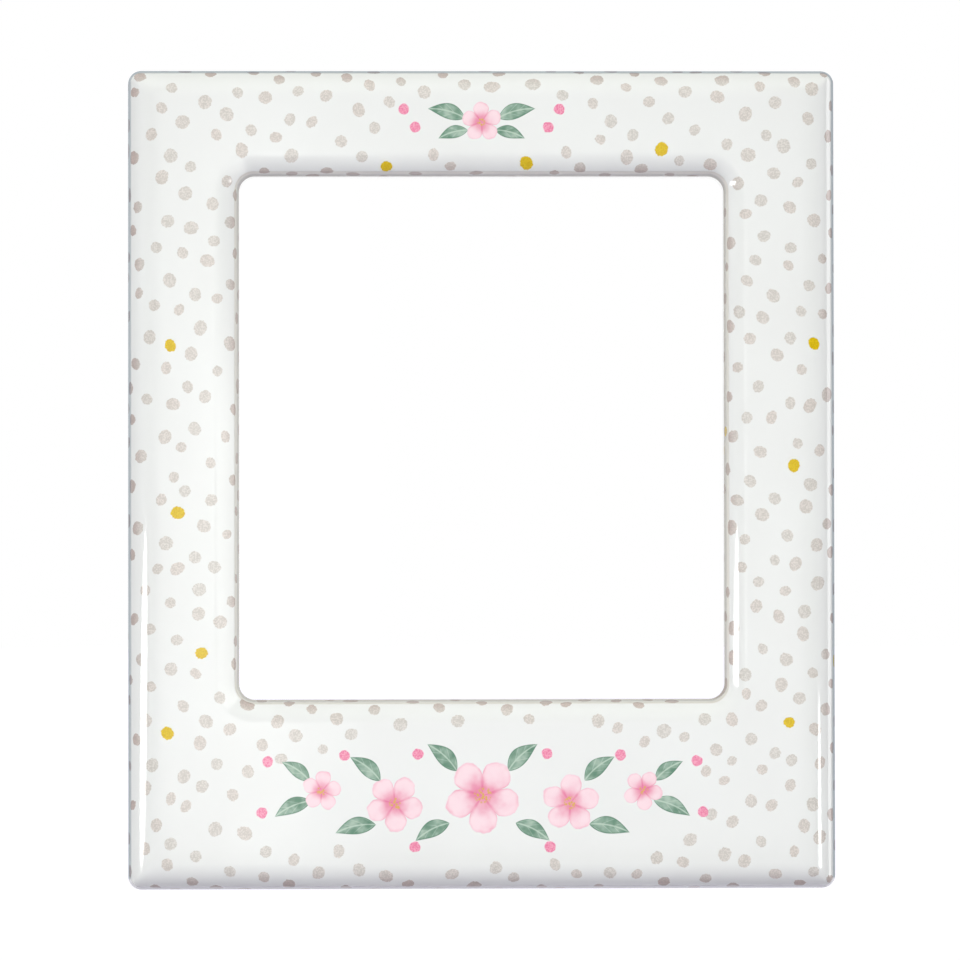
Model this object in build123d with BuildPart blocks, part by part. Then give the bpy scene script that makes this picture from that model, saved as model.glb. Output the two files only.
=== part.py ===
"""Magnetic photo frame: a pressed tin frame wrapped in a printed sheet and a clear film.

Millimetres. X is to the right and Z is up. The front faces -Y, and the flat back of the magnet lies in the plane
Y = 0 with the frame's centre at the origin. Depths are counted forward from that back plane.
"""

from build123d import *

import os
from math import cos, radians, tan

os.makedirs("parts", exist_ok=True)

# Outline of the frame and of its window, seen from the front
frame_width = 95.0
frame_height = 110.0
window_width = 65.2
window_height = 70.4
top_border = 14.2
window_corner_radius = 2.1

# Rolled edges of the pressed front, and the slant of its window walls in degrees
outer_roll = 1.6
outer_corner_margin = 0.2
window_roll = 2.0
window_draft = 14.0

# Wrapped layers, outermost first
film_thickness = 0.1
sheet_thickness = 0.15
tin_thickness = 0.3
layer_gap = 0.02
wrapped_depth = 3.7
hem_width = 3.0

# Moulded back plate
flange_thickness = 0.8
flange_setback = 0.6
rib_thickness = 1.2
rib_clearance = 0.1
flange_edge_break = 0.15

# Photo pocket of foam tape, open at the top
tape_thickness = 0.7
tape_width = 6.0
tape_joint_gap = 0.5
tape_setback = 0.6

# Flexible magnet
magnet_thickness = 0.8
magnet_setback = 1.4
magnet_corner_radius = 2.0
magnet_window_margin = 0.6
magnet_edge_break = 0.1
thumb_notch_width = 18.0
thumb_notch_depth = 7.0
thumb_notch_corner_radius = 3.0

# Clear sheet over the photo
cover_thickness = 0.3
cover_clearance = 0.2
cover_face_gap = 0.05
cover_top_setback = 3.5
cover_corner_radius = 1.5

# Depths of the stack, from the back plane forward
magnet_front = magnet_thickness
pocket_front = magnet_front + tape_thickness
flange_front = pocket_front + flange_thickness
film_front = flange_front + wrapped_depth

# Insets of the wrapped layers from the film's outside
sheet_inset = film_thickness + layer_gap
tin_inset = sheet_inset + sheet_thickness + layer_gap
hollow_inset = tin_inset + tin_thickness

# Outline values that follow
outer_corner_radius = outer_roll + outer_corner_margin
window_z = frame_height / 2 - top_border - window_height / 2
tape_inset = magnet_setback + tape_setback
pocket_half_width = frame_width / 2 - tape_inset - tape_width
pocket_floor = -frame_height / 2 + tape_inset + tape_width


def window_set_back(inset, depth):
    """How far a layer's slanted window wall stands back from the window's edge at a depth."""
    return inset / cos(radians(window_draft)) + (depth - flange_front) * tan(radians(window_draft))


def rolled_frame(inset, rear):
    """Frame-shaped block whose skin lies an inset inside the film's, rolled at the front, from a rear depth."""
    set_back = window_set_back(inset, rear)
    with BuildPart() as block:
        with BuildSketch(Plane.XZ.offset(rear)):
            RectangleRounded(
                frame_width - 2 * inset, frame_height - 2 * inset, outer_corner_radius - inset
            )
        extrude(amount=film_front - inset - rear)
        with BuildSketch(Plane.XZ.offset(rear)):
            with Locations((0, window_z)):
                RectangleRounded(
                    window_width + 2 * set_back,
                    window_height + 2 * set_back,
                    window_corner_radius + set_back,
                )
        extrude(amount=film_front - inset - rear, taper=-window_draft, mode=Mode.SUBTRACT)
        fillet(block.faces().sort_by(Axis.Y)[0].outer_wire().edges(), outer_roll - inset)
        front_face = block.faces().filter_by(Plane.XZ).sort_by(Axis.Y)[0]
        fillet(front_face.inner_wires()[0].edges(), window_roll - inset)
    return block.part


def square_ring(inset, rear, front):
    """Square-cornered ring, set in from the frame's outline and back from its window, between two depths."""
    with BuildPart() as ring:
        with BuildSketch(Plane.XZ.offset(rear)):
            Rectangle(frame_width - 2 * inset, frame_height - 2 * inset)
            with Locations((0, window_z)):
                Rectangle(window_width + 2 * inset, window_height + 2 * inset, mode=Mode.SUBTRACT)
        extrude(amount=front - rear)
    return ring.part


def wrapped_layer(inset, thickness):
    """One layer wrapped over the front and turned in behind both rims, where it ends in a hem."""
    rear = flange_front + inset
    with BuildPart() as layer:
        add(rolled_frame(inset, rear))
        add(rolled_frame(inset + thickness, rear + thickness), mode=Mode.SUBTRACT)
        add(square_ring(hem_width, rear, rear + thickness), mode=Mode.SUBTRACT)
    return layer.part


# Clear film, the outermost layer
with BuildPart() as clear_film:
    add(wrapped_layer(0, film_thickness))
clear_film.part.label = "clear_film"
export_step(clear_film.part, "parts/clear_film.step")

# Printed sheet under the film
with BuildPart() as printed_sheet:
    add(wrapped_layer(sheet_inset, sheet_thickness))
printed_sheet.part.label = "printed_sheet"
export_step(printed_sheet.part, "parts/printed_sheet.step")

# Pressed tin shell, open at the back
tin_rim = flange_front + tin_inset
with BuildPart() as front_shell:
    add(rolled_frame(tin_inset, tin_rim))
    add(rolled_frame(hollow_inset, tin_rim), mode=Mode.SUBTRACT)
front_shell.part.label = "front_shell"
export_step(front_shell.part, "parts/front_shell.step")

# Back plate: a flange behind the hems, and two ribs that stand up inside the shell clear of hems and rolls
window_roll_end = window_set_back(0, film_front) + window_roll * tan(radians(90 - window_draft) / 2)
rib_foot_inset = max(hem_width, outer_roll, window_roll_end) + rib_clearance
rib_tip = film_front - hollow_inset - rib_clearance
with BuildPart() as back_plate:
    with BuildSketch(Plane.XZ.offset(pocket_front)):
        RectangleRounded(
            frame_width - 2 * flange_setback, frame_height - 2 * flange_setback, outer_corner_radius
        )
        with Locations((0, window_z)):
            RectangleRounded(
                window_width + 2 * flange_setback,
                window_height + 2 * flange_setback,
                window_corner_radius + flange_setback,
                mode=Mode.SUBTRACT,
            )
    extrude(amount=flange_thickness)
    chamfer(back_plate.faces().sort_by(Axis.Y)[-1].edges(), flange_edge_break)
    add(square_ring(rib_foot_inset, flange_front, rib_tip))
    add(square_ring(rib_foot_inset + rib_thickness, flange_front, rib_tip), mode=Mode.SUBTRACT)
back_plate.part.label = "back_plate"
export_step(back_plate.part, "parts/back_plate.step")

# Foam tape up each side of the pocket, ending a little short of the bottom strip
side_tape_foot = pocket_floor + tape_joint_gap
side_tape_top = frame_height / 2 - tape_inset
for side, sign in (("left", -1), ("right", 1)):
    with BuildPart() as side_tape:
        with BuildSketch(Plane.XZ.offset(magnet_front)):
            with Locations(
                (sign * (pocket_half_width + tape_width / 2), (side_tape_foot + side_tape_top) / 2)
            ):
                Rectangle(tape_width, side_tape_top - side_tape_foot)
        extrude(amount=tape_thickness)
    side_tape.part.label = f"foam_tape_{side}"
    export_step(side_tape.part, f"parts/foam_tape_{side}.step")

# Foam tape along the bottom, the pocket's floor
with BuildPart() as bottom_tape:
    with BuildSketch(Plane.XZ.offset(magnet_front)):
        with Locations((0, pocket_floor - tape_width / 2)):
            Rectangle(frame_width - 2 * tape_inset, tape_width)
    extrude(amount=tape_thickness)
bottom_tape.part.label = "foam_tape_bottom"
export_step(bottom_tape.part, "parts/foam_tape_bottom.step")

# Flexible magnet with its own window and a thumb notch in its top edge
magnet_top = frame_height / 2 - magnet_setback
with BuildPart() as magnet_sheet:
    with BuildSketch(Plane.XZ):
        RectangleRounded(
            frame_width - 2 * magnet_setback, frame_height - 2 * magnet_setback, magnet_corner_radius
        )
        with Locations((0, window_z)):
            RectangleRounded(
                window_width + 2 * magnet_window_margin,
                window_height + 2 * magnet_window_margin,
                window_corner_radius + magnet_window_margin,
                mode=Mode.SUBTRACT,
            )
        with Locations((0, magnet_top)):
            RectangleRounded(
                thumb_notch_width,
                2 * thumb_notch_depth,
                thumb_notch_corner_radius,
                mode=Mode.SUBTRACT,
            )
    extrude(amount=magnet_thickness)
    chamfer(magnet_sheet.faces().filter_by(Plane.XZ).edges(), magnet_edge_break)
magnet_sheet.part.label = "magnet_sheet"
export_step(magnet_sheet.part, "parts/magnet_sheet.step")

# Clear cover sheet, standing on the bottom tape close behind the back plate
cover_foot = pocket_floor + cover_face_gap
cover_top = frame_height / 2 - cover_top_setback
with BuildPart() as photo_cover:
    with BuildSketch(Plane.XZ.offset(pocket_front - cover_face_gap - cover_thickness)):
        with Locations((0, (cover_foot + cover_top) / 2)):
            RectangleRounded(
                2 * (pocket_half_width - cover_clearance), cover_top - cover_foot, cover_corner_radius
            )
    extrude(amount=cover_thickness)
photo_cover.part.label = "photo_cover"
export_step(photo_cover.part, "parts/photo_cover.step")
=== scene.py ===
# %% [markdown]
# This lesson dresses a small magnetic photo frame. The frame is pressed from tin, wrapped in a printed
# sheet and a clear film, and backed by a flexible magnet with a photo pocket in front of it. The
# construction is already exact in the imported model, so Blender only has to add what the eye sees. The first
# step loads that model as a fixed frame and keeps its box, because nothing that is added later may make the
# object larger.

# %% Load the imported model
import math

import bmesh
import bpy
from mathutils import Matrix, Vector


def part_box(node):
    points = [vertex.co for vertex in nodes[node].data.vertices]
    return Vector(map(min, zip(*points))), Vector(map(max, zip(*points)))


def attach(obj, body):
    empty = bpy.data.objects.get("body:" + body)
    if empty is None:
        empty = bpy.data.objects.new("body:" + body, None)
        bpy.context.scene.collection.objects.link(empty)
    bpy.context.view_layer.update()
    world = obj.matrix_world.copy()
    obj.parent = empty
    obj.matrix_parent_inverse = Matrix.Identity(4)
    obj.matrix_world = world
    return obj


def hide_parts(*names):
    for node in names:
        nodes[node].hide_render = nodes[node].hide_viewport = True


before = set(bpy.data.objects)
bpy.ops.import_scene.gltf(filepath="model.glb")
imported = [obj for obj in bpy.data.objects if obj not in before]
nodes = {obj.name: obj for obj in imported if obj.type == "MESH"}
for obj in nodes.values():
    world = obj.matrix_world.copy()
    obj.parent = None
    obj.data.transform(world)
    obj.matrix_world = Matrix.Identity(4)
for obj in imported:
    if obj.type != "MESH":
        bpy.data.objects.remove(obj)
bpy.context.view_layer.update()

mm = 0.001

# %% [markdown]
# The photograph is square and shows the frame from straight ahead, a hair from the left and from below. A
# long lens keeps the frame's sides almost parallel. The lens could be set by eye, but the outline's place
# in the picture gives it: the frame's real width and its width in pixels say how wide the whole picture is
# at the frame.

# %% Camera at the photograph's viewing angle
picture_width = 960
frame_span = 712.3
frame_centre = (482.1, 479.1)
camera_distance = 0.45
camera_right, camera_up, camera_roll = -0.8, -0.6, -0.08


def heading(degrees_right, degrees_up):
    """Direction seen from the frame: degrees to the right of the camera's side, and up."""
    right, up = math.radians(degrees_right), math.radians(degrees_up)
    return Vector((math.sin(right) * math.cos(up), -math.cos(right) * math.cos(up), math.sin(up)))


film_low, film_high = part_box("clear_film")
half_width, half_height = film_high.x, film_high.z
front_depth, hem_depth = -film_low.y, -film_high.y
pixel = 2 * half_width / frame_span
aside = (picture_width / 2 - frame_centre[0]) * pixel
below = (frame_centre[1] - picture_width / 2) * pixel
target = Vector((aside, -front_depth, below))
towards_camera = heading(camera_right, camera_up)

camera_data = bpy.data.cameras.new("camera")
camera_data.lens = camera_data.sensor_width * camera_distance / (picture_width * pixel)
camera = bpy.data.objects.new("camera", camera_data)
camera.location = target + towards_camera * camera_distance
camera.rotation_euler = (-towards_camera).to_track_quat("-Z", "Y").to_euler()
camera.rotation_euler.rotate_axis("Z", math.radians(camera_roll))
bpy.context.scene.collection.objects.link(camera)
bpy.context.scene.camera = camera
print(f"lens {camera_data.lens:.1f} mm, one pixel is {pixel / mm:.4f} mm")

# %% [markdown]
# The wrapped skin is the piece that everyone looks at, so it gets a mesh of its own. On the real frame the
# sheet and its film run from a hem behind the outer rim, over a soft outer roll, across the face, down a
# rolled window edge and into a second hem. A bevel modifier would round the edges, but it gives one radius
# everywhere and no way to unroll the print. So the skin is built from rings instead. Each ring is a rounded
# rectangle, a profile says how far in and how deep each ring lies, and the walk along that profile also
# says where the ring lies on the flat sheet.

# %% Rings that share one point count
arc_steps = 10
side_steps = 30


def ring_points(half_x, half_z, radius, centre_z):
    """Points of a rounded rectangle, always as many, so that neighbouring rings can be joined."""
    arcs = []
    for corner, (sign_x, sign_z) in enumerate(((1, -1), (1, 1), (-1, 1), (-1, -1))):
        centre = Vector((sign_x * (half_x - radius), centre_z + sign_z * (half_z - radius)))
        angles = [math.pi / 2 * (corner - 1 + step / arc_steps) for step in range(arc_steps + 1)]
        arcs.append([centre + radius * Vector((math.cos(a), math.sin(a))) for a in angles])
    points = []
    for arc, next_arc in zip(arcs, arcs[1:] + arcs[:1]):
        points += arc
        points += [arc[-1].lerp(next_arc[0], step / side_steps) for step in range(1, side_steps)]
    return points


# The outer rings close in towards the face, where their corners end almost square
outer_corner = 1.8 * mm
face_corner = 0.7 * mm


def outer_ring(inset):
    """Ring that lies an inset inside the frame's outline, or outside it on the flat sheet."""
    radius = max(outer_corner - inset, face_corner)
    return ring_points(half_width - inset, half_height - inset, radius, 0)


# The window rings keep an even distance from the window's edge
window_half_width, window_half_height = 32.55 * mm, 35.1 * mm
window_z = 5.6 * mm
window_corner = 2.1 * mm
smallest_corner = 0.1 * mm


def window_ring(set_back):
    """Ring that lies a set-back outside the window's edge, or inside it on the flat sheet."""
    radius = max(window_corner + set_back, smallest_corner)
    return ring_points(window_half_width + set_back, window_half_height + set_back, radius, window_z)


print("points in a ring:", len(outer_ring(0)))

# %% [markdown]
# The profile comes in two halves, one around the outside and one around the window. Each runs from a hem,
# round a tight turned edge, up a wall that leans in a little, over a shoulder onto a short bevel, and along
# an arc to the face. The tin below has the same form, so each half is worked out for any layer: 0 for the
# film that shows, more for the tin. A layer lies square to the skin everywhere, so where two straight runs
# meet, its corner moves along both of their normals at once.

# %% Profile of the wrapped layers, as distances from an edge and depths
outer_form = {"lean": 0.62 * mm, "bevel": 0.5 * mm, "radius": 3.9 * mm, "tilt": math.radians(44)}
window_form = {"lean": 0.5 * mm, "bevel": 0.1 * mm, "radius": 3.8 * mm, "tilt": math.radians(42)}
turned_edge, shoulder_turn = 0.25 * mm, 0.3 * mm
hem_width = 3.0 * mm
arc_rows, turn_rows, run_rows = 14, 4, 3


def between(start, end):
    """Points after the start and up to the end of a straight run."""
    return [start.lerp(end, row / run_rows) for row in range(1, run_rows + 1)]


def soft_turn(start, corner, end):
    """Points of a soft turn from a start past a corner to an end."""
    shares = [row / turn_rows for row in range(1, turn_rows + 1)]
    return [start.lerp(corner, t).lerp(corner.lerp(end, t), t) for t in shares]


def layer_corner(corner, normal, next_normal, layer):
    """Corner of a layer that lies inside two runs of the skin."""
    return corner + (normal + next_normal) * layer / (1 + normal.dot(next_normal))


def face_edge(form):
    """Distance from an edge at which the flat face begins."""
    return form["lean"] + form["bevel"] + form["radius"] * math.sin(form["tilt"])


def half_profile(form, layer):
    """Half of a layer's profile, from its hem over wall, shoulder, bevel and arc to the face."""
    radius, tilt = form["radius"], form["tilt"]
    slope = Vector((math.cos(tilt), math.sin(tilt)))
    centre = Vector((face_edge(form), front_depth - radius))
    shoulder = centre - radius * Vector((slope.y, -slope.x)) - slope * form["bevel"] / slope.x
    hem_corner = Vector((0, hem_depth))
    rise = (shoulder - hem_corner).normalized()
    wall_normal, bevel_normal = Vector((rise.y, -rise.x)), Vector((slope.y, -slope.x))

    hem_corner = layer_corner(hem_corner, Vector((0, 1)), wall_normal, layer)
    shoulder = layer_corner(shoulder, wall_normal, bevel_normal, layer)
    edge = max(turned_edge - layer, turned_edge / 4)
    points = [Vector((hem_width, hem_depth + layer))]
    points += between(points[-1], hem_corner + Vector((edge, 0)))
    points += soft_turn(points[-1], hem_corner, hem_corner + rise * edge)
    points += between(points[-1], shoulder - rise * shoulder_turn)
    points += soft_turn(points[-1], shoulder, shoulder + slope * shoulder_turn / 4)
    for row in range(arc_rows + 1):
        angle = tilt * (1 - row / arc_rows)
        points.append(centre + (radius - layer) * Vector((-math.sin(angle), math.cos(angle))))
    return points


outer_face_edge, window_face_edge = face_edge(outer_form), face_edge(window_form)
print(f"the face begins {outer_face_edge / mm:.2f} mm inside the outline")
print(f"and {window_face_edge / mm:.2f} mm off the window")

# %% [markdown]
# Now the rings are stacked into closed shells. A ring of the skin also needs its place on the flat printed
# sheet, so that dots run over the rolls without stretching. That place is the walked length of the profile,
# counted from where the face begins. It is stored in a UV map named print, which the print's material reads
# later. The face itself is a few rings that blend from the outer outline to the window's, because the
# border below the window is wider.

# %% Stack the rings into shells
print_span = 140 * mm
face_steps = 8
shell_sharp_angle = math.radians(50)


def walked_back(profile):
    """Length from each point of a profile to its last one."""
    lengths = [0.0]
    for start, end in zip(profile[::-1], profile[-2::-1]):
        lengths.append(lengths[-1] + (end - start).length)
    return lengths[::-1]


def layer_rings(layer):
    """Rings of one side of a layer, outer hem to window hem: depth, points and place on the flat sheet."""
    rings = []
    outer, window = half_profile(outer_form, layer), half_profile(window_form, layer)
    for (inset, depth), walk in zip(outer, walked_back(outer)):
        rings.append((depth, outer_ring(inset), outer_ring(outer_face_edge - walk)))
    for step in range(1, face_steps):
        ends = zip(outer_ring(outer_face_edge), window_ring(window_face_edge))
        face = [a.lerp(b, step / face_steps) for a, b in ends]
        rings.append((front_depth - layer, face, face))
    for (set_back, depth), walk in reversed(list(zip(window, walked_back(window)))):
        rings.append((depth, window_ring(set_back), window_ring(window_face_edge - walk)))
    return rings


def join_rows(shape, rows):
    """Faces between closed rows of points, each row joined to the next."""
    for row, next_row in zip(rows, rows[1:]):
        for i in range(len(row)):
            j = (i + 1) % len(row)
            shape.faces.new((row[i], row[j], next_row[j], next_row[i]))


def new_piece(name, shape, sharp_angle):
    """Smooth object from a finished bmesh, with edges kept sharp above an angle."""
    for face in shape.faces:
        face.smooth = True
    mesh = bpy.data.meshes.new(name)
    shape.to_mesh(mesh)
    shape.free()
    mesh.set_sharp_from_angle(angle=sharp_angle)
    piece = bpy.data.objects.new(name, mesh)
    bpy.context.scene.collection.objects.link(piece)
    return piece


def wrapped_shell(name, outside, inside):
    """Closed shell between two layers, with its place on the flat sheet as a UV map."""
    shape = bmesh.new()
    uv = shape.loops.layers.uv.new("print")
    rows, flat = [], {}
    for depth, points, flat_points in layer_rings(outside) + layer_rings(inside)[::-1]:
        rows.append([shape.verts.new((x, -depth, z)) for x, z in points])
        flat.update(zip(rows[-1], flat_points))
    join_rows(shape, rows + rows[:1])
    bmesh.ops.recalc_face_normals(shape, faces=shape.faces)
    for face in shape.faces:
        for corner in face.loops:
            corner[uv].uv = flat[corner.vert] / print_span + Vector((0.5, 0.5))
    return new_piece(name, shape, shell_sharp_angle)


print("rings from hem to hem:", len(layer_rings(0)))

# %% Build the wrapped skin and the tin under it
wrap_thickness = 0.27 * mm
tin_inset = 0.29 * mm
tin_thickness = 0.3 * mm

print_wrap = wrapped_shell("print_wrap", 0, wrap_thickness)
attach(print_wrap, "frame")
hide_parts("clear_film", "printed_sheet")

tin_shell = wrapped_shell("tin_shell", tin_inset, tin_inset + tin_thickness)
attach(tin_shell, "frame")
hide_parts("front_shell")
for shell in (print_wrap, tin_shell):
    print(f"{shell.name}: {len(shell.data.polygons)} faces")

# %% [markdown]
# Three strips of foam tape hold the magnet off the back plate and leave the pocket between them. A plain
# block would do for their size, but cut foam has a face that bellies out a little and edges that are
# pinched by what it sticks to. Each strip is a section swept along its length. The belly reaches the
# solid's side and the pinched edges draw back from it, so the strip stays inside the room that the
# construction gives it. A slow wave keeps the cut from being perfectly straight.

# %% Foam tape strips
pinch = 0.16 * mm
cut_wave = 0.05 * mm
short_wave, long_wave = 9 * mm, 23 * mm
belly_steps = 6
strip_step = 2.0 * mm
strip_sharp_angle = math.radians(40)


def strip_section(half_span, thickness):
    """Section of a tape strip across its width: flat on both faces, bellied at both sides."""
    side = []
    for step in range(belly_steps + 1):
        angle = math.pi * (step / belly_steps - 0.5)
        reach = half_span - pinch * (1 - math.cos(angle))
        side.append(Vector((reach, thickness / 2 * math.sin(angle))))
    return side + [-point for point in side]


def foam_strip(name, node):
    """Tape strip in the room of a CAD strip, swept along the longer of its sides."""
    low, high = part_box(node)
    middle = (low + high) / 2
    upright = high.z - low.z > high.x - low.x
    along = Vector((0, 0, 1)) if upright else Vector((1, 0, 0))
    across = Vector((1, 0, 0)) if upright else Vector((0, 0, 1))
    length, width = (high - low).dot(along), (high - low).dot(across)
    steps = round(length / strip_step)
    shape = bmesh.new()
    rows = []
    for step in range(steps + 1):
        place = length * (step / steps - 0.5)
        wave = cut_wave * (1 - abs(math.sin(place / short_wave) * math.cos(place / long_wave)))
        end = pinch if step in (0, steps) else 0
        section = strip_section(width / 2 - wave - end, high.y - low.y)
        start = middle + along * place
        rows.append([shape.verts.new(start + across * p.x + Vector((0, p.y, 0))) for p in section])
    join_rows(shape, rows)
    shape.faces.new(rows[0])
    shape.faces.new(rows[-1])
    bmesh.ops.recalc_face_normals(shape, faces=shape.faces)
    piece = new_piece(name, shape, strip_sharp_angle)
    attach(piece, "frame")
    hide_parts(node)
    return piece


strip_places = ("left", "right", "bottom")
foam_strips = [foam_strip(f"foam_strip_{place}", f"foam_tape_{place}") for place in strip_places]
print("foam strips:", [strip.name for strip in foam_strips])

# %% [markdown]
# The finishes come next, and all of them are node trees. Writing each node and link out in full is clear
# but long, so a few small helpers do it. One feeds a socket from a value or from another socket, one adds a
# node, and the rest are short names for the nodes that come up again and again.

# %% Helpers that feed sockets and add nodes


def feed(tree, socket, value):
    """Links another socket to this one, or sets its own value."""
    if isinstance(value, bpy.types.NodeSocket):
        tree.links.new(value, socket)
    else:
        socket.default_value = value


def feed_all(tree, sockets, values):
    """Feeds sockets by their names."""
    for name, value in values.items():
        feed(tree, sockets[name], value)


def add_node(tree, kind, inputs=None, **settings):
    """New node with its settings, and its named inputs fed."""
    made = tree.nodes.new("ShaderNode" + kind)
    for name, value in settings.items():
        setattr(made, name, value)
    feed_all(tree, made.inputs, inputs or {})
    return made


# %% Helpers for numbers and vectors


def sums(tree, operation, *values):
    """Math node on numbers."""
    made = add_node(tree, "Math", operation=operation)
    for socket, value in zip(made.inputs, values):
        feed(tree, socket, value)
    return made.outputs[0]


def times(tree, first, second):
    """Product of two numbers."""
    return sums(tree, "MULTIPLY", first, second)


def minus(tree, first, second):
    """Difference of two numbers."""
    return sums(tree, "SUBTRACT", first, second)


def times_plus(tree, first, second, added):
    """Product of two numbers with a third one added."""
    return sums(tree, "MULTIPLY_ADD", first, second, added)


def vectors(tree, operation, *values, scale=None):
    """Vector Math node; lengths and dot products come out as a number."""
    made = add_node(tree, "VectorMath", operation=operation)
    for socket, value in zip(made.inputs, values):
        feed(tree, socket, value)
    if scale is not None:
        feed(tree, made.inputs["Scale"], scale)
    return made.outputs["Value" if operation in ("LENGTH", "DOT_PRODUCT") else "Vector"]


def axes_of(tree, vector):
    """The three numbers of a vector."""
    return add_node(tree, "SeparateXYZ", {"Vector": vector}).outputs


def turned(tree, vector, angle):
    """Vector turned about the sheet's normal."""
    inputs = {"Vector": vector, "Angle": angle}
    return add_node(tree, "VectorRotate", inputs, rotation_type="Z_AXIS").outputs[0]


# %% Helpers for ranges, colours and textures


def fade(tree, value, start, end):
    """Smooth step from 0 where the value is at the start to 1 at the end."""
    inputs = {"Value": value, "From Min": start, "From Max": end}
    return add_node(tree, "MapRange", inputs, interpolation_type="SMOOTHSTEP").outputs["Result"]


def spread(tree, value, low, high):
    """A value between 0 and 1 stretched to a range."""
    inputs = {"Value": value, "To Min": low, "To Max": high}
    return add_node(tree, "MapRange", inputs).outputs["Result"]


def blend(tree, share, under, over, mode="MIX"):
    """Mix of two colours."""
    made = add_node(tree, "Mix", data_type="RGBA", blend_type=mode)
    for index, value in ((0, share), (6, under), (7, over)):
        feed(tree, made.inputs[index], value)
    return made.outputs[2]


def noise(tree, vector, scale, detail=2.0, dimensions="2D"):
    """Noise texture on a vector, between 0 and 1."""
    inputs = {"Vector": vector, "Scale": scale, "Detail": detail}
    return add_node(tree, "TexNoise", inputs, noise_dimensions=dimensions).outputs["Fac"]


def swing(tree, vector, scale, detail=2.0, dimensions="2D"):
    """Noise texture that swings about 0."""
    return minus(tree, noise(tree, vector, scale, detail, dimensions), 0.5)


def loose_grid(tree, vector, randomness):
    """Voronoi texture on a flat vector: one point in each cell of a grid."""
    inputs = {"Vector": vector, "Scale": 1.0, "Randomness": randomness}
    return add_node(tree, "TexVoronoi", inputs, voronoi_dimensions="2D").outputs


# %% Helpers for groups and materials


def new_group(name, inputs, outputs):
    """Empty node group with named sockets: the group, what it is given and what it puts out."""
    group = bpy.data.node_groups.new(name, "ShaderNodeTree")
    for label, value in inputs.items():
        kind = "NodeSocketFloat" if isinstance(value, float) else "NodeSocketVector"
        group.interface.new_socket(label, in_out="INPUT", socket_type=kind).default_value = value
    for label, kind in outputs.items():
        group.interface.new_socket(label, in_out="OUTPUT", socket_type="NodeSocket" + kind)
    given = group.nodes.new("NodeGroupInput").outputs
    return group, given, group.nodes.new("NodeGroupOutput").inputs


def place_group(tree, group, **inputs):
    """A node group placed in a tree, with inputs named by their labels in lower case."""
    made = tree.nodes.new("ShaderNodeGroup")
    made.node_tree = group
    feed_all(tree, made.inputs, {label.capitalize(): value for label, value in inputs.items()})
    return made.outputs


def at_object(tree):
    """Place on the surface in the object's own metres."""
    return add_node(tree, "TexCoord").outputs["Object"]


def srgb(red, green, blue):
    """Colour from the 0 to 255 values that a picture editor shows."""
    shares = [value / 255 for value in (red, green, blue)]
    linear = [s / 12.92 if s <= 0.04045 else ((s + 0.055) / 1.055) ** 2.4 for s in shares]
    return (*linear, 1.0)


def new_material(name):
    """Material with an empty Principled shader: the material, its tree and the shader's inputs."""
    material = bpy.data.materials.new(name)
    material.use_nodes = True
    shader = next(n for n in material.node_tree.nodes if n.type == "BSDF_PRINCIPLED")
    return material, material.node_tree, shader.inputs


def bump(tree, height, distance):
    """Normal from a height, where distance is the height in metres that a value of 1 stands for."""
    inputs = {"Height": height, "Distance": distance, "Strength": 1.0}
    return add_node(tree, "Bump", inputs).outputs["Normal"]


origin = (0, 0, 0)
print("mid grey in linear light:", round(srgb(128, 128, 128)[0], 3))

# %% [markdown]
# The print's ground is a scatter of hand-painted dots. They could be modelled, but ink has no height, so
# they belong in the material. A Voronoi texture with half of its randomness puts one point in each cell of
# a loose grid. A slow noise bends the grid first, so that no rows show. Around each point the distance is
# stretched in a direction of its own and roughened a little, which makes every dot an uneven oval. A
# second, much wider grid serves to pick out a few dots: the group puts out how far each dot's centre is
# from that grid's nearest point. The sheet's coordinates here are in millimetres.

# %% Node group for scattered dots
grid_turn, grid_looseness = 0.47, 0.45
drift_scale, drift_reach = 0.05, 1.8
oval_stretch = 0.14
wobble_scale, outline_wobble = 0.9, 0.22
grain_scale, outline_grain = 3.6, 0.22
smallest_dot, largest_dot, soft_outline = 0.84, 1.16, 0.05
pick_spacing, pick_shift, pick_looseness = 21.0, (3.0, 5.0, 0.0), 0.6


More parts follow.
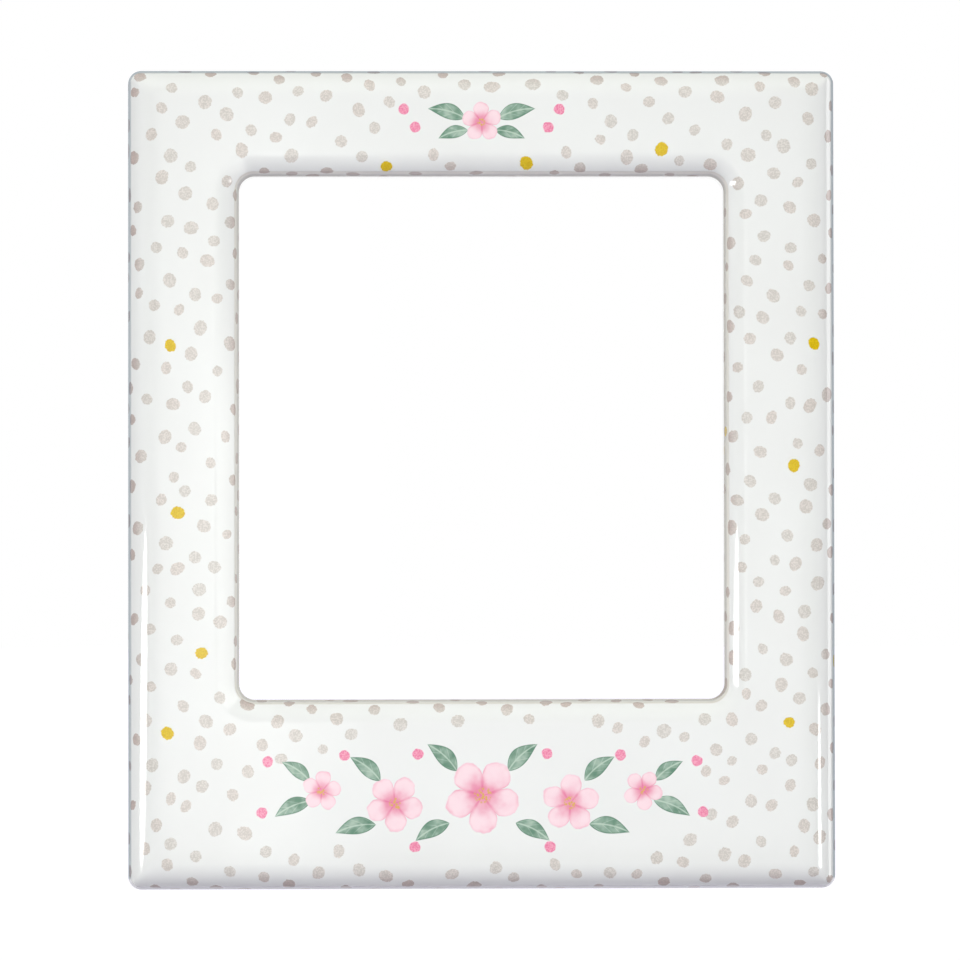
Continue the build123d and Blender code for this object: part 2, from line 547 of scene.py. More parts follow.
def scattered_dots_group():
    """Dots of ink on a loose grid, each with its own size, stretch and shade."""
    group, given, out = new_group(
        "scattered_dots",
        {"Place": origin, "Spacing": 3.85, "Radius": 0.84},
        {"Mask": "Float", "Shade": "Float", "Pick": "Float", "Centre": "Vector"},
    )
    place, spacing = given["Place"], given["Spacing"]
    inputs = {"Vector": place, "Scale": drift_scale, "Detail": 0}
    drift = add_node(group, "TexNoise", inputs, noise_dimensions="2D").outputs["Color"]
    drift = vectors(group, "SUBTRACT", drift, (0.5, 0.5, 0.5))
    bent = vectors(group, "ADD", place, vectors(group, "SCALE", drift, scale=drift_reach))
    cells = turned(group, bent, grid_turn)
    cells = vectors(group, "SCALE", cells, scale=sums(group, "DIVIDE", 1, spacing))
    grid = loose_grid(group, cells, grid_looseness)
    chance = add_node(group, "SeparateColor", {"Color": grid["Color"]}).outputs

    offset = vectors(group, "SUBTRACT", cells, grid["Position"])
    offset = vectors(group, "SCALE", offset, scale=spacing)
    offset = turned(group, offset, times(group, chance["Red"], math.pi))
    wider = spread(group, chance["Green"], 1, 1 + oval_stretch)
    slimmer = spread(group, chance["Green"], 1, 1 - oval_stretch / 2)
    oval = add_node(group, "CombineXYZ", {"X": wider, "Y": slimmer}).outputs[0]
    away = vectors(group, "LENGTH", vectors(group, "MULTIPLY", offset, oval))
    away = times_plus(group, swing(group, place, wobble_scale), outline_wobble, away)
    away = times_plus(group, swing(group, place, grain_scale), outline_grain, away)
    reach = times(group, given["Radius"], spread(group, chance["Blue"], smallest_dot, largest_dot))
    outer, inner = sums(group, "ADD", reach, soft_outline), minus(group, reach, soft_outline)

    centre = turned(group, vectors(group, "SCALE", grid["Position"], scale=spacing), -grid_turn)
    wide = vectors(group, "SCALE", vectors(group, "ADD", centre, pick_shift), scale=1 / pick_spacing)
    pick = times(group, loose_grid(group, wide, pick_looseness)["Distance"], pick_spacing)
    mask = fade(group, away, outer, inner)
    feed_all(group, out, {"Mask": mask, "Shade": chance["Green"], "Pick": pick, "Centre": centre})
    return group


scattered_dots = scattered_dots_group()
print("scattered_dots:", len(scattered_dots.nodes), "nodes")

# %% [markdown]
# A garland of simple blossoms and leaves fills the wide border, with a small sprig above the window. One
# leaf and one blossom are enough, if they are node groups with a place, a turn and a size: each is then
# placed as often as needed. A leaf is a sine curve on both sides of a rib. A blossom is a circle whose
# radius swings five times on the way round.

# %% Node group for a leaf
leaf_fullness, leaf_outline = 0.8, 0.09
rib_outside, rib_inside = 0.14, 0.03
vein_count, vein_slant, vein_width, vein_share = 7, 5, 0.22, 0.45
line_lift, leaf_rim = 0.4, 0.3


def leaf_group():
    """Pointed leaf that grows from its base along the turned X axis."""
    group, given, out = new_group(
        "painted_leaf",
        {"Place": origin, "Base": origin, "Turn": 0.0, "Length": 5.0, "Width": 2.2, "Bend": 0.1},
        {"Mask": "Float", "Tone": "Float"},
    )
    local = vectors(group, "SUBTRACT", given["Place"], given["Base"])
    axes = axes_of(group, turned(group, local, times(group, given["Turn"], -1)))
    along = sums(group, "DIVIDE", axes["X"], given["Length"])
    inside = sums(group, "MINIMUM", sums(group, "MAXIMUM", along, 0), 1)
    bow = times(group, inside, minus(group, 1, inside))
    bow = times(group, bow, times(group, given["Bend"], given["Length"]))
    across = sums(group, "ABSOLUTE", minus(group, axes["Y"], bow))
    swell = sums(group, "SINE", times(group, sums(group, "POWER", inside, leaf_fullness), math.pi))
    half = times(group, times(group, swell, given["Width"]), 0.5)
    to_edge = minus(group, half, across)

    rib = fade(group, across, rib_outside, rib_inside)
    slant = times(group, sums(group, "DIVIDE", across, given["Width"]), vein_slant)
    veins = sums(group, "PINGPONG", minus(group, times(group, inside, vein_count), slant), 1)
    veins = times(group, fade(group, veins, vein_width, 0.0), vein_share)
    lines = times(group, sums(group, "MAXIMUM", rib, veins), line_lift)
    tone = sums(group, "ADD", noise(group, given["Place"], 0.55), lines)
    rim = times(group, fade(group, to_edge, 0.26, 0.05), leaf_rim)
    mask = fade(group, to_edge, 0.0, leaf_outline)
    feed_all(group, out, {"Mask": mask, "Tone": minus(group, tone, rim)})
    return group


painted_leaf = leaf_group()
print("painted_leaf:", len(painted_leaf.nodes), "nodes")

# %% Node group for a blossom
petal_count, petal_notch, petal_roundness = 5, 0.5, 0.5
petal_ruffle, petal_outline = 0.16, 0.04
deep_share, rim_share, crease_share, wash_share = 0.75, 0.28, 0.5, 0.7


def blossom_group():
    """Open blossom with rounded petals."""
    group, given, out = new_group(
        "painted_blossom",
        {"Place": origin, "Centre": origin, "Radius": 4.0, "Turn": 0.0},
        {"Mask": "Float", "Tone": "Float", "Heart": "Float"},
    )
    place = given["Place"]
    local = turned(group, vectors(group, "SUBTRACT", place, given["Centre"]), given["Turn"])
    axes = axes_of(group, local)
    angle = sums(group, "ARCTAN2", axes["Y"], axes["X"])
    away = sums(group, "DIVIDE", vectors(group, "LENGTH", local), given["Radius"])
    away = times_plus(group, swing(group, place, 0.7), petal_ruffle, away)
    petal = sums(group, "COSINE", times(group, angle, petal_count / 2))
    petal = sums(group, "ABSOLUTE", petal)
    outline = spread(group, sums(group, "POWER", petal, petal_roundness), petal_notch, 1.0)
    to_edge = minus(group, outline, away)

    crease = times(group, fade(group, petal, 0.5, 0.0), 0.5)
    deep = times(group, fade(group, away, 0.75, 0.05), deep_share)
    rim = times(group, fade(group, to_edge, 0.14, 0.02), rim_share)
    tone = sums(group, "ADD", deep, rim)
    tone = sums(group, "ADD", tone, times(group, crease, crease_share))
    tone = times_plus(group, swing(group, place, 0.5), wash_share, tone)
    seeds = add_node(group, "TexVoronoi", {"Vector": place, "Scale": 2.4}, voronoi_dimensions="2D")
    heart = fade(group, seeds.outputs["Distance"], 0.5, 0.25)
    heart = times(group, fade(group, away, 0.26, 0.16), heart)
    feed_all(group, out, {"Mask": fade(group, to_edge, 0.0, petal_outline), "Tone": tone, "Heart": heart})
    return group


painted_blossom = blossom_group()
print("painted_blossom:", len(painted_blossom.nodes), "nodes")

# %% [markdown]
# Smooth surfaces that are handled never stay evenly glossy: fingers and wiping leave broad, faint changes
# and a few fine lines. The film, the clear cover and the tin share that, so it is one group that puts out a
# roughness. Matte mouldings, rubber and foam share a grain instead, which puts out a tone for the colour
# and a height for the bump.

# %% Node groups for handling marks and for grain
smudge_scale, patch_scale = 70, 90
wipe_turn, wipe_stretch, wipe_share = 0.3, (260, 260, 2600), 0.5


def handling_marks_group():
    """Roughness of a glossy surface that has been touched and wiped."""
    group, given, out = new_group(
        "handling_marks",
        {"Place": origin, "Clean": 0.05, "Smudged": 0.12},
        {"Roughness": "Float", "Lines": "Float"},
    )
    broad = fade(group, noise(group, given["Place"], smudge_scale, 3, "3D"), 0.42, 0.72)
    stretched = vectors(group, "MULTIPLY", turned(group, given["Place"], wipe_turn), wipe_stretch)
    lines = fade(group, noise(group, stretched, 1, 1, "3D"), 0.66, 0.74)
    touched = sums(group, "MINIMUM", times_plus(group, lines, wipe_share, broad), 1)
    roughness = spread(group, touched, given["Clean"], given["Smudged"])
    feed_all(group, out, {"Roughness": roughness, "Lines": lines})
    return group


def fine_grain_group():
    """Even grain of a matte surface, with slow patches in it."""
    group, given, out = new_group(
        "fine_grain",
        {"Place": origin, "Size": 0.0003, "Patches": 0.3},
        {"Tone": "Float", "Height": "Float"},
    )
    grain = noise(group, given["Place"], sums(group, "DIVIDE", 1, given["Size"]), 2, "3D")
    patches = swing(group, given["Place"], patch_scale, 3, "3D")
    feed_all(group, out, {"Tone": times_plus(group, patches, given["Patches"], grain), "Height": grain})
    return group


handling_marks = handling_marks_group()
fine_grain = fine_grain_group()
print("shared groups:", handling_marks.name, fine_grain.name)

# %% [markdown]
# Now the print itself. Its layers are painted one over the other, as a printer lays down ink: paper, dots,
# leaves, blossoms. Dots whose centres fall inside the garland are dropped whole, so none is cut in half. A
# dot is mustard where its centre lies close to a point of the wide grid, which makes a few, far apart. A
# fine stipple breaks up all the ink, because a printed tone is made of grains. The clear film on top is the
# shader's own gloss, and a slow, shallow wave in it keeps the highlights from being ruler-straight.

# %% Layout of the garland, in millimetres on the sheet
garland_zone = ((0.0, -42.6), (31.0, 8.6))
sprig_zone = ((0.0, 47.9), (12.2, 4.7))

# Blossoms: centre, radius and turn; leaves: base, direction in degrees, length and width; berries: centre
centre_blossoms = [((0.0, -42.2), 5.1, 0.3), ((0.0, 47.7), 2.7, 0.9)]
side_blossoms = [((11.7, -43.2), 3.9, 1.0), ((21.4, -41.5), 2.7, 0.2)]
side_leaves = [
    ((3.4, -38.9), 42, 5.4, 2.4),
    ((4.4, -45.8), -28, 5.2, 2.3),
    ((13.6, -40.2), 38, 5.2, 2.3),
    ((14.2, -46.0), -12, 5.6, 2.4),
    ((22.8, -42.8), -24, 5.4, 2.2),
    ((23.0, -40.2), 34, 4.6, 2.0),
    ((2.2, 48.2), 14, 5.2, 2.2),
    ((1.8, 46.6), -16, 4.2, 1.8),
]
side_berries = [
    (8.6, -36.6), (18.4, -36.8), (9.0, -49.0), (28.6, -37.6), (29.4, -44.4), (8.9, 47.0), (10.4, 49.4),
]
leaf_bend = 0.3
berry_radius = 0.72

blossoms, leaves, berries = list(centre_blossoms), [], []
for side in (1, -1):
    for (x, z), radius, blossom_turn in side_blossoms:
        blossoms.append(((side * x, z), radius, side * blossom_turn))
    for (x, z), degrees, length, width in side_leaves:
        leaf_turn = math.radians(degrees if side == 1 else 180 - degrees)
        leaves.append(((side * x, z), leaf_turn, length, width, leaf_bend * side))
    berries += [(side * x, z) for x, z in side_berries]
print(len(blossoms), "blossoms,", len(leaves), "leaves and", len(berries), "berries")

# %% Colours of the print
paper_white, paper_shade = srgb(242, 245, 242), srgb(237, 239, 236)
dot_light, dot_dark = srgb(228, 225, 218), srgb(202, 198, 189)
# The blush colour tints dots at random; the deeper one is painted shade on the dots over the rolls.
dot_blush, dot_roll_shade = srgb(255, 250, 249), srgb(226, 213, 212)
mustard_light, mustard_dark = srgb(230, 200, 24), srgb(216, 182, 4)
leaf_dark, leaf_light = srgb(92, 138, 112), srgb(186, 209, 192)
petal_pale, petal_deep = srgb(253, 226, 232), srgb(233, 122, 160)
heart_gold = srgb(226, 176, 92)
berry_light, berry_dark = srgb(247, 170, 194), srgb(238, 128, 164)
# The last three colours multiply the skin as painted shade: cool on the outer walls deep below the face, a
# tan tone with painted shade on the window's lip, darker still next to the window's hem.
wall_painted_shade, lip_tan_and_shade, hem_painted_shade = srgb(236, 239, 242), srgb(244, 238, 228), srgb(224, 221, 217)
print("white paper in linear light:", [round(value, 3) for value in paper_white])

# %% Places on the print


def outside_zone(tree, place, zone):
    """1 where a place lies outside an oval zone of the sheet, else 0."""
    (x, z), (reach_x, reach_z) = zone
    away = vectors(tree, "SUBTRACT", place, (x, z, 0))
    away = vectors(tree, "MULTIPLY", away, (1 / reach_x, 1 / reach_z, 0))
    return sums(tree, "GREATER_THAN", vectors(tree, "LENGTH", away), 1)


def below_face(tree):
    """Depth of a place on the wrapped skin below its flat face, in millimetres."""
    return times_plus(tree, axes_of(tree, at_object(tree))["Y"], 1 / mm, front_depth / mm)


def off_window(tree):
    """Distance of a place from the window's edge, in millimetres."""
    corner = (window_half_width - window_corner, 0, window_half_height - window_corner)
    place = vectors(tree, "ABSOLUTE", vectors(tree, "SUBTRACT", at_object(tree), (0, 0, window_z)))
    place = vectors(tree, "MULTIPLY", vectors(tree, "SUBTRACT", place, corner), (1, 0, 1))
    away = vectors(tree, "LENGTH", vectors(tree, "MAXIMUM", place, origin))
    return times(tree, minus(tree, away, window_corner), 1 / mm)


# %% Layers of ink
dot_spacing, dot_radius = 3.85, 0.82
mustard_reach = 2.1
berry_ragged, berry_outline = 0.3, 0.05
far_off = 100.0


def painted_dots(tree, sheet, colour, stipple, ink_grain, depth):
    """Colour with the dots painted over it, their ink darker where the sheet turns down: painted shade on the
    rolls.
    """
    dots = place_group(tree, scattered_dots, place=sheet, spacing=dot_spacing, radius=dot_radius)
    mask = dots["Mask"]
    for zone in (garland_zone, sprig_zone):
        mask = times(tree, mask, outside_zone(tree, dots["Centre"], zone))
    taupe = blend(tree, ink_grain, dot_dark, dot_light)
    taupe = blend(tree, dots["Shade"], taupe, dot_blush, "MULTIPLY")
    # Painted shade: the dots' ink darkens where the sheet turns down over the rolls.
    taupe = blend(tree, fade(tree, depth, 0.1, 1.3), taupe, dot_roll_shade, "MULTIPLY")
    mustard = blend(tree, ink_grain, mustard_dark, mustard_light)
    is_mustard = sums(tree, "LESS_THAN", dots["Pick"], mustard_reach)
    thinned = sums(tree, "MAXIMUM", spread(tree, stipple, 0.7, 1.12), is_mustard)
    return blend(tree, times(tree, mask, thinned), colour, blend(tree, is_mustard, taupe, mustard))


def painted_garland(tree, sheet, colour, ink_grain):
    """Colour with leaves, blossoms and berries painted over it."""
    for (x, z), leaf_turn, length, width, bend in leaves:
        form = {"turn": leaf_turn, "length": length, "width": width, "bend": bend}
        leaf = place_group(tree, painted_leaf, place=sheet, base=(x, z, 0), **form)
        green = blend(tree, fade(tree, leaf["Tone"], 0.2, 1.0), leaf_dark, leaf_light)
        colour = blend(tree, leaf["Mask"], colour, green)
    for (x, z), radius, blossom_turn in blossoms:
        form = {"radius": radius, "turn": blossom_turn}
        blossom = place_group(tree, painted_blossom, place=sheet, centre=(x, z, 0), **form)
        pink = blend(tree, fade(tree, blossom["Tone"], -0.1, 1.0), petal_pale, petal_deep)
        colour = blend(tree, blossom["Mask"], colour, blend(tree, blossom["Heart"], pink, heart_gold))
    ragged = times(tree, swing(tree, sheet, 1.1), berry_ragged)
    nearest = far_off
    for x, z in berries:
        away = vectors(tree, "LENGTH", vectors(tree, "SUBTRACT", sheet, (x, z, 0)))
        nearest = sums(tree, "MINIMUM", away, nearest)
    nearest = sums(tree, "ADD", nearest, ragged)
    berry = fade(tree, nearest, berry_radius + berry_outline, berry_radius - berry_outline)
    return blend(tree, berry, colour, blend(tree, ink_grain, berry_dark, berry_light))


# %% Glossy print
wave_height, wave_stretch = 0.00003, (0.16, 0.035, 1)
film_ior = 1.55


def glossy_print():
    """White sheet printed with dots and a garland, under a clear gloss film."""
    material, tree, shader = new_material("glossy_print")
    uv = add_node(tree, "UVMap", uv_map="print").outputs["UV"]
    sheet = vectors(tree, "SCALE", vectors(tree, "SUBTRACT", uv, (0.5, 0.5, 0)), scale=print_span / mm)
    stipple = noise(tree, sheet, 4.6, 1)
    coarse = noise(tree, sheet, 1.5, 2)
    ink_grain = fade(tree, times_plus(tree, coarse, 0.4, stipple), 0.52, 0.92)
    depth = below_face(tree)

    colour = blend(tree, noise(tree, sheet, 0.06, 3), paper_white, paper_shade)
    colour = painted_dots(tree, sheet, colour, stipple, ink_grain, depth)
    colour = painted_garland(tree, sheet, colour, ink_grain)
    beside = off_window(tree)
    # Painted shade: the outer walls darken with their depth below the face, the window's lip turns tan and
    # darker, and the strip next to the window's hem darker still.
    shade_tints = ((depth, 1.7, 2.6, wall_painted_shade), (beside, 0.6, 0.42, lip_tan_and_shade), (beside, 0.34, 0.14, hem_painted_shade))
    for value, start, end, tint in shade_tints:
        colour = blend(tree, fade(tree, value, start, end), colour, tint, "MULTIPLY")

    marks = place_group(tree, handling_marks, place=at_object(tree), clean=0.045, smudged=0.1)
    wave = noise(tree, vectors(tree, "MULTIPLY", sheet, wave_stretch), 1, 1)
    look = {"Base Color": colour, "Roughness": marks["Roughness"], "IOR": film_ior}
    feed_all(tree, shader, look | {"Normal": bump(tree, wave, wave_height)})
    print("glossy_print:", len(tree.nodes), "nodes")
    return material


print_wrap.data.materials.append(glossy_print())

# %% [markdown]
# Four more finishes lie behind the print. The tin is bright metal with drawn streaks, and the foam has
# cells that the knife opened. The back plate and the magnet keep their CAD shapes and only change their
# finish. The plate is white moulded plastic with the fine texture of an eroded tool. The magnet is ferrite
# powder in rubber: nearly black, matte, with faint lines from the rolls that flattened it.

# %% Tin, moulded plastic, foam and ferrite rubber
streak_stretch, streak_height = (5000, 5000, 120), 0.000004
moulded_height = 0.00002
foam_cells, cell_height = 5200.0, 0.00004
roll_stretch, roll_height, scuff_share = (2200, 2200, 16), 0.00002, 0.35


def tinplate():
    """Bright pressed tinplate with faint drawn streaks."""
    material, tree, shader = new_material("tinplate")
    place = at_object(tree)
    streaks = noise(tree, vectors(tree, "MULTIPLY", place, streak_stretch), 1, 2, "3D")
    marks = place_group(tree, handling_marks, place=place, clean=0.2, smudged=0.34)
    colour = blend(tree, streaks, srgb(205, 207, 210), srgb(226, 227, 229))
    look = {"Base Color": colour, "Metallic": 1.0, "Roughness": marks["Roughness"]}
    feed_all(tree, shader, look | {"Normal": bump(tree, streaks, streak_height)})
    return material


def moulded_plastic():
    """White moulded plastic with an eroded texture."""
    material, tree, shader = new_material("moulded_plastic")
    grain = place_group(tree, fine_grain, place=at_object(tree), size=0.00022, patches=0.5)
    colour = blend(tree, grain["Tone"], srgb(228, 228, 225), srgb(240, 240, 238))
    look = {"Base Color": colour, "Roughness": spread(tree, grain["Tone"], 0.42, 0.62)}
    feed_all(tree, shader, look | {"Normal": bump(tree, grain["Height"], moulded_height)})
    return material


def cut_foam():
    """White closed-cell foam, cut so that its cells show."""
    material, tree, shader = new_material("cut_foam")
    place = at_object(tree)
    grain = place_group(tree, fine_grain, place=place, size=0.0005, patches=0.6)
    cells = add_node(tree, "TexVoronoi", {"Vector": place, "Scale": foam_cells}).outputs["Distance"]
    pits = fade(tree, cells, 0.1, 0.55)
    # The hollows of the cells are painted darker: painted shade in the pits.
    shade = times(tree, pits, spread(tree, grain["Tone"], 0.7, 1.1))
    colour = blend(tree, shade, srgb(196, 196, 190), srgb(236, 236, 231))
    look = {"Base Color": colour, "Roughness": spread(tree, pits, 0.95, 0.8)}
    feed_all(tree, shader, look | {"Normal": bump(tree, pits, cell_height)})
    return material


def ferrite_rubber():
    """Flexible magnet: ferrite powder in rubber, matte, with faint lines from the rolls."""
    material, tree, shader = new_material("ferrite_rubber")
    place = at_object(tree)
    grain = place_group(tree, fine_grain, place=place, size=0.00035, patches=0.9)
    lines = noise(tree, vectors(tree, "MULTIPLY", place, roll_stretch), 1, 2, "3D")
    scuffs = place_group(tree, handling_marks, place=place, clean=0.46, smudged=0.72)
    tone = times_plus(tree, lines, 0.5, times(tree, grain["Tone"], 0.6))
    worn = blend(tree, fade(tree, tone, 0.2, 0.9), srgb(34, 31, 30), srgb(62, 57, 54))
    colour = blend(tree, times(tree, scuffs["Lines"], scuff_share), worn, srgb(98, 92, 88))
    height = times_plus(tree, lines, 0.8, grain["Height"])
    look = {"Base Color": colour, "Roughness": scuffs["Roughness"]}
    feed_all(tree, shader, look | {"Normal": bump(tree, height, roll_height)})
    return material


# %% Give the pieces behind the print their finishes


def finish_node(name, material):
    """Gives a CAD node a new material and leaves its mesh alone."""
    for slot in nodes[name].material_slots:
        slot.material = material


tin_shell.data.materials.append(tinplate())
finish_node("back_plate", moulded_plastic())
finish_node("magnet_sheet", ferrite_rubber())
foam = cut_foam()
for strip in foam_strips:
    strip.data.materials.append(foam)
print("finishes:", [material.name for material in bpy.data.materials if material.users])

# %% [markdown]
# The clear cover is a loose sheet of thin plastic. Glass in Cycles is a Principled shader with its
# transmission turned up, and a solid of the true thickness bends light as the real sheet does. Its cut edge
# is a little frosted and shows the plastic's cool tint, which is what makes a clear sheet visible at all.
# The edge is found from the surface's own direction: the two faces point to the front and the back, and
# everything else is edge.

# %% Clear cover
edge_tint, edge_frost = srgb(186, 208, 208), 0.45
cover_ior = 1.49
white = (1, 1, 1, 1)


def clear_sheet():
    """Clear plastic sheet with faint handling marks and a frosted cut edge."""
    material, tree, shader = new_material("clear_sheet")
    normal = add_node(tree, "NewGeometry").outputs["True Normal"]
    facing = sums(tree, "ABSOLUTE", axes_of(tree, normal)["Y"])
    edge = sums(tree, "LESS_THAN", facing, 0.5)
    marks = place_group(tree, handling_marks, place=at_object(tree), clean=0.0, smudged=0.03)
    look = {"Base Color": blend(tree, edge, white, edge_tint)}
    look["Roughness"] = times_plus(tree, edge, edge_frost, marks["Roughness"])
    feed_all(tree, shader, look | {"IOR": cover_ior, "Transmission Weight": 1.0})
    return material


finish_node("photo_cover", clear_sheet())
print("cover:", nodes["photo_cover"].material_slots[0].material.name)

# %% [markdown]
# The studio is a pale floor well below the frame, a soft sky, four lamps and a set of cards. In the
# photograph everything around the frame is pure white, also through the window. Lighting a room until it is
# white would burn out the white print, so the world and the floor are white only to the camera and to
# reflections, and give the frame a plain amount of light. The floor's glow is added to its own shading, so
# that the frame's shadow still darkens it.

# %% Sky and floor
bpy.context.scene.view_settings.view_transform = "Standard"
floor_colour, floor_glow = (0.202, 0.179, 0.27, 1), 0.9
light_colour = (0.998, 1.0, 0.967, 1)
even_light = 0.178

# Soft lights of the sky: where they lie, how much they add, and the cosines between which they fade in
sky_lights = [
    (heading(-4, 11), 0.86, 0.5, 0.95),
    (heading(70, 0), 1.05, 0.4, 0.95),
    (heading(-70, 0), 1.22, 0.4, 0.95),
    (heading(180, 0), 1.0, 0.3, 0.9),
]


def bare_tree(owner, output):
    """Node tree of a material or a world with only its output: the tree and the output's surface."""
    owner.use_nodes = True
    owner.node_tree.nodes.clear()
    return owner.node_tree, add_node(owner.node_tree, output).inputs["Surface"]


def shader_pair(tree, kind, first, second, inputs=None):
    """Two shaders mixed or added."""
    made = add_node(tree, kind, inputs)
    for socket, shader in zip(made.inputs[-2:], (first, second)):
        feed(tree, socket, shader.outputs[0])
    return made.outputs[0]


def seen_rays(tree):
    """1 for rays from the camera and for rays that a mirror or glass sends on, else 0."""
    path = add_node(tree, "LightPath").outputs
    seen = sums(tree, "MAXIMUM", path["Is Camera Ray"], path["Is Glossy Ray"])
    return sums(tree, "MAXIMUM", seen, path["Is Transmission Ray"])


def soft_sky():
    """World that looks white, and lights softly from in front, from both sides and from behind."""
    world = bpy.data.worlds.new("soft_sky")
    tree, surface = bare_tree(world, "OutputWorld")
    direction = add_node(tree, "TexCoord").outputs["Generated"]
    strength = even_light
    for towards, added, start, end in sky_lights:
        lobe = fade(tree, vectors(tree, "DOT_PRODUCT", direction, towards), start, end)
        strength = times_plus(tree, lobe, added, strength)
    lighting = add_node(tree, "Background", {"Color": light_colour, "Strength": strength})
    seen = add_node(tree, "Background", {"Color": white})
    feed(tree, surface, shader_pair(tree, "MixShader", lighting, seen, {"Fac": seen_rays(tree)}))
    return world


def pale_floor():
    """Floor that shades and takes shadows, with a glow that lifts it to white."""
    material = bpy.data.materials.new("pale_floor")
    tree, surface = bare_tree(material, "OutputMaterial")
    matte = add_node(tree, "BsdfDiffuse", {"Color": floor_colour})
    glow = add_node(tree, "Emission", {"Strength": times(tree, seen_rays(tree), floor_glow)})
    feed(tree, surface, shader_pair(tree, "AddShader", matte, glow))
    return material


# %% Put the sky and the floor in place
floor_drop = 85 * mm
floor_reach = 6.0


def stage_plane(name, size, place, facing, material):
    """Flat sheet of the studio, facing along a direction."""
    mesh = bpy.data.meshes.new(name)
    signs = ((-1, -1), (1, -1), (1, 1), (-1, 1))
    corners = [(sx * size[0] / 2, sy * size[1] / 2, 0) for sx, sy in signs]
    mesh.from_pydata(corners, [], [(0, 1, 2, 3)])
    mesh.materials.append(material)
    plane = bpy.data.objects.new(name, mesh)
    plane.location = place
    plane.rotation_euler = Vector(facing).to_track_quat("Z", "Y").to_euler()
    bpy.context.scene.collection.objects.link(plane)
    return plane


bpy.context.scene.world = soft_sky()
floor_z = -half_height - floor_drop
stage_plane("floor", (floor_reach, floor_reach), (0, 0, floor_z), (0, 0, 1), pale_floor())
print(f"floor {-floor_z / mm:.0f} mm below the frame's centre")

# %% [markdown]
# The highlights are mirror images of lamps in the glossy rolls, so a lamp's place can be read off the
# picture. A roll turns its normal away from the camera, and the mirrored ray turns twice as far. The long
# streak on the left roll asks for a wide oval lamp far to the left and a little below the camera. The
# shorter streak on the right roll asks for a small one that hangs lower, and the fine line beside it for a
# tall one almost at right angles. These three show only as highlights. A fourth lamp does the opposite: it
# stands close in front of the frame, brightens its middle, and shows in no reflection.

# %% Lamps
# Strip lamps: name, middle, direction they face, length and height, degrees that the left end dips, radiance
strip_lamps = [
    ("left_strip", (-0.42, -0.328, -0.062), (0.79, 0.61, 0), (0.29, 0.085), 13, 11.0),
    ("right_strip", (0.414, -0.344, -0.1), (-0.75, 0.65, 0), (0.13, 0.084), -20, 9.0),
    ("right_side_strip", (0.5, 0.035, 0.085), (-1, 0, 0), (0.12, 0.6), 0, 2.5),
]
fill_place, fill_size, fill_radiance = (-0.016, -0.25, -0.014), 0.12, 3.7


def new_lamp(name, place, energy):
    """Area lamp at a place: its object and its light."""
    light = bpy.data.lights.new(name, "AREA")
    light.energy = energy
    lamp = bpy.data.objects.new(name, light)
    lamp.location = place
    bpy.context.scene.collection.objects.link(lamp)
    return lamp, light


def strip_lamp(name, middle, facing, size, degrees, radiance):
    """Oval lamp that shows only as a highlight."""
    strip, light = new_lamp(name, middle, radiance * math.pi * size[0] * size[1])
    light.shape = "ELLIPSE"
    light.size, light.size_y = size
    dip = math.radians(degrees)
    back = -Vector(facing).normalized()
    level = Vector((0, 0, 1)).cross(back)
    along = level * math.cos(dip) + Vector((0, 0, 1)) * math.sin(dip)
    strip.rotation_euler = Matrix((along, back.cross(along), back)).transposed().to_euler()
    strip.visible_camera = strip.visible_diffuse = False


def front_fill():
    """Small square lamp close in front of the frame, which shows in no reflection."""
    fill, light = new_lamp("front_fill", fill_place, fill_radiance * 4 * fill_size**2)
    light.size = fill_size
    fill.rotation_euler = Vector((0, 1, 0)).to_track_quat("-Z", "Y").to_euler()
    fill.visible_camera = fill.visible_glossy = fill.visible_transmission = False


for strip_values in strip_lamps:
    strip_lamp(*strip_values)
front_fill()

# %% [markdown]
# Between the lamps hang cards, as a photographer hangs them around anything glossy, and here too they show
# only in reflections. A grey card behind the frame draws the thin line along its edges. Lilac flags at the
# sides and on the floor tone the rolls. A dark card in front has a wide opening, so that the flat face and
# the clear window mirror white and the rolls beside and below them mirror the dark. Soft ovals of glow give
# the left border its shine and the right one a faint streak. The last two cards stand edge-on to the camera
# in front of the window and have only one side: a bright one that the window's left roll mirrors, and a
# dark one that keeps the sky off its bottom roll.
#
# A card is a glow that covers a share of what is behind it, and the kinds of card differ only in that
# share.

# %% Shares that the cards cover
hole_middle, hole_half, hole_soft = (7.2 * mm, 400 * mm), (97.5 * mm, 507 * mm), 12 * mm
side_far, side_full = 0.4, 0.2
left_roll_soft, foot_roll_soft = 3 * mm, 5 * mm


def whole(tree):
    """Share of a plain card, which covers everything."""
    return 1.0


def soft_oval(tree):
    """Share of a card that fades out from its middle to its sides."""
    place = vectors(tree, "SUBTRACT", add_node(tree, "TexCoord").outputs["Generated"], (0.5, 0.5, 0))
    return fade(tree, vectors(tree, "LENGTH", vectors(tree, "MULTIPLY", place, (2, 2, 0))), 1.0, 0.0)


def around_lens(tree):
    """Share of a card with a soft-edged opening, as wide as what the flat face mirrors, open at the top."""
    place = add_node(tree, "NewGeometry").outputs["Position"]
    place = vectors(tree, "SUBTRACT", place, (hole_middle[0], 0, hole_middle[1]))
    beyond = vectors(tree, "MULTIPLY", vectors(tree, "ABSOLUTE", place), (1, 0, 1))
    beyond = vectors(tree, "SUBTRACT", beyond, (hole_half[0], 0, hole_half[1]))
    return fade(tree, vectors(tree, "LENGTH", vectors(tree, "MAXIMUM", beyond, origin)), 0, hole_soft)


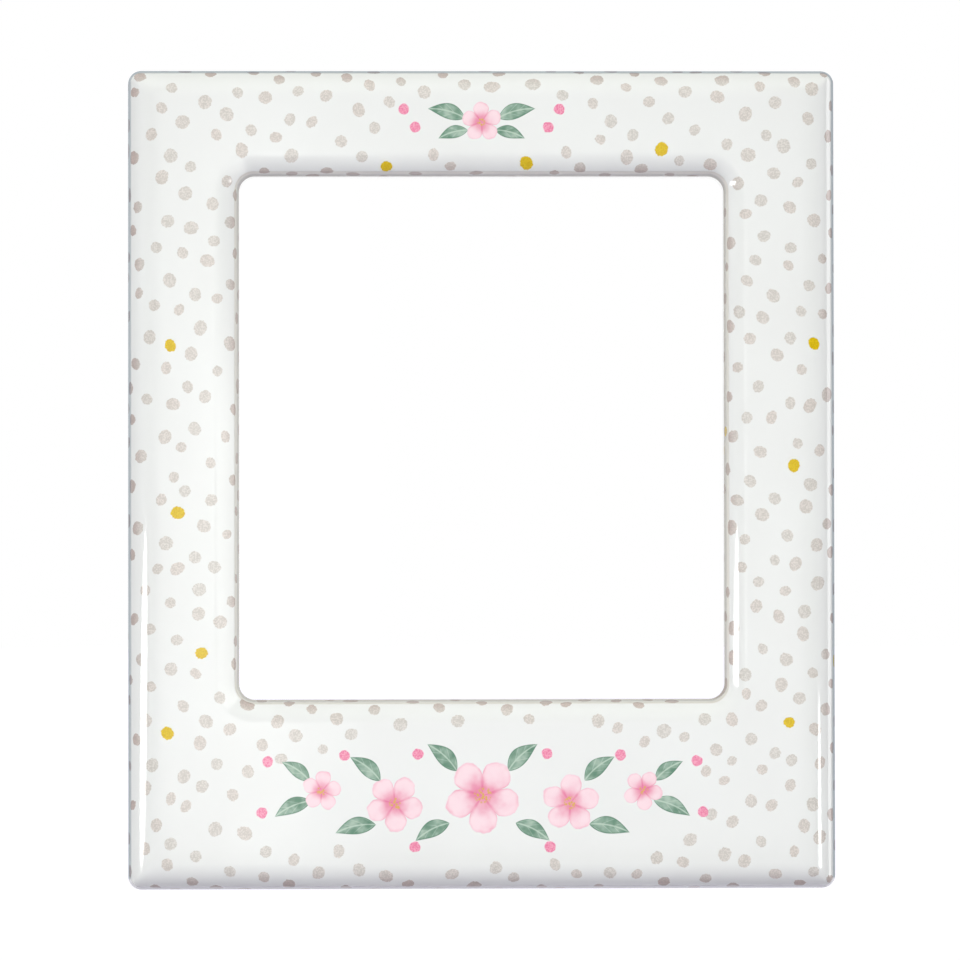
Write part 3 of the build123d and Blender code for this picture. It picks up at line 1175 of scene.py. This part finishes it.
def beside_window(axis, low_end, low_full, high_full, high_end):
    """Share of a card in front of the window: front side only, and only what one window edge mirrors."""

    def share(tree):
        geometry = add_node(tree, "NewGeometry").outputs
        place = axes_of(tree, geometry["Position"])
        lens = getattr(camera.location, axis.lower())
        widening = times_plus(tree, place["Y"], -1 / camera_distance, 1)
        mirrored_at = sums(tree, "DIVIDE", minus(tree, place[axis], lens), widening)
        covered = minus(tree, 1, geometry["Backfacing"])
        for end, full in ((low_end, low_full), (high_end, high_full)):
            covered = times(tree, covered, fade(tree, mirrored_at, end - lens, full - lens))
        return times(tree, covered, fade(tree, place["Y"], -side_far, -side_full))

    return share


window_top, window_foot = window_z + window_half_height, window_z - window_half_height
left_roll_share = beside_window("Z", window_foot, window_foot + left_roll_soft, 0, window_top)
foot_full = window_half_width - foot_roll_soft
foot_roll_share = beside_window("X", -window_half_width, -foot_full, foot_full, window_half_width)
print(f"mirrored beside the window: {window_foot / mm:.1f} to {window_top / mm:.1f} mm in height")

# %% Cards
grey, lilac, dark = (0.30, 0.37, 0.44, 1), (0.42, 0.40, 0.50, 1), (0.10, 0.10, 0.12, 1)
warm_white = (1, 1, 0.96, 1)
flag_z = floor_z + 5 * mm

# Just beyond the lens, flat faces mirror only the clear backs of the two one-sided cards
past_lens = 1 * mm
lens_x, lens_z = camera.location.x - past_lens, camera.location.z - past_lens

# Cards: name, size, place, direction they face, colour, radiance, share that they cover
cards = [
    ("edge_card", (1.2, 1.2), (0, 0.5, 0), (0, -1, 0), grey, 1.0, whole),
    ("floor_flag", (1.2, 0.7), (0, -0.35, flag_z), (0, 0, 1), lilac, 1.0, whole),
    ("left_flag", (0.8, 0.9), (-0.62, -0.25, 0.1), (1, 0, 0), lilac, 1.0, whole),
    ("right_flag", (0.8, 0.9), (0.62, -0.25, 0.1), (-1, 0, 0), lilac, 1.0, whole),
    ("front_card", (1.3, 1.2), (0, -0.6, 0), (0, 1, 0), dark, 1.0, around_lens),
    ("left_glow", (0.08, 0.364), (-0.057, -0.5, -0.014), (0, 1, 0), warm_white, 2.9, soft_oval),
    ("right_glow", (0.014, 0.16), (0.09, -0.5, -0.028), (0, 1, 0), white, 1.35, soft_oval),
    ("left_roll_glow", (0.392, 0.16), (lens_x, -0.204, 0.01), (-1, 0, 0), warm_white, 2.9, left_roll_share),
    ("foot_roll_shade", (0.16, 0.392), (0, -0.204, lens_z), (0, 0, -1), dark, 1.0, foot_roll_share),
]


def card_material(name, colour, radiance, share):
    """Glow that covers a share of what is behind it."""
    material = bpy.data.materials.new(name)
    tree, surface = bare_tree(material, "OutputMaterial")
    clear = add_node(tree, "BsdfTransparent")
    glow = add_node(tree, "Emission", {"Color": colour, "Strength": radiance})
    feed(tree, surface, shader_pair(tree, "MixShader", clear, glow, {"Fac": share(tree)}))
    return material


for name, size, place, facing, colour, radiance, share in cards:
    card = stage_plane(name, size, place, facing, card_material(name, colour, radiance, share))
    card.visible_camera = card.visible_diffuse = card.visible_shadow = False
    card.visible_transmission = card.visible_volume_scatter = False
print("cards:", [name for name, *_ in cards])
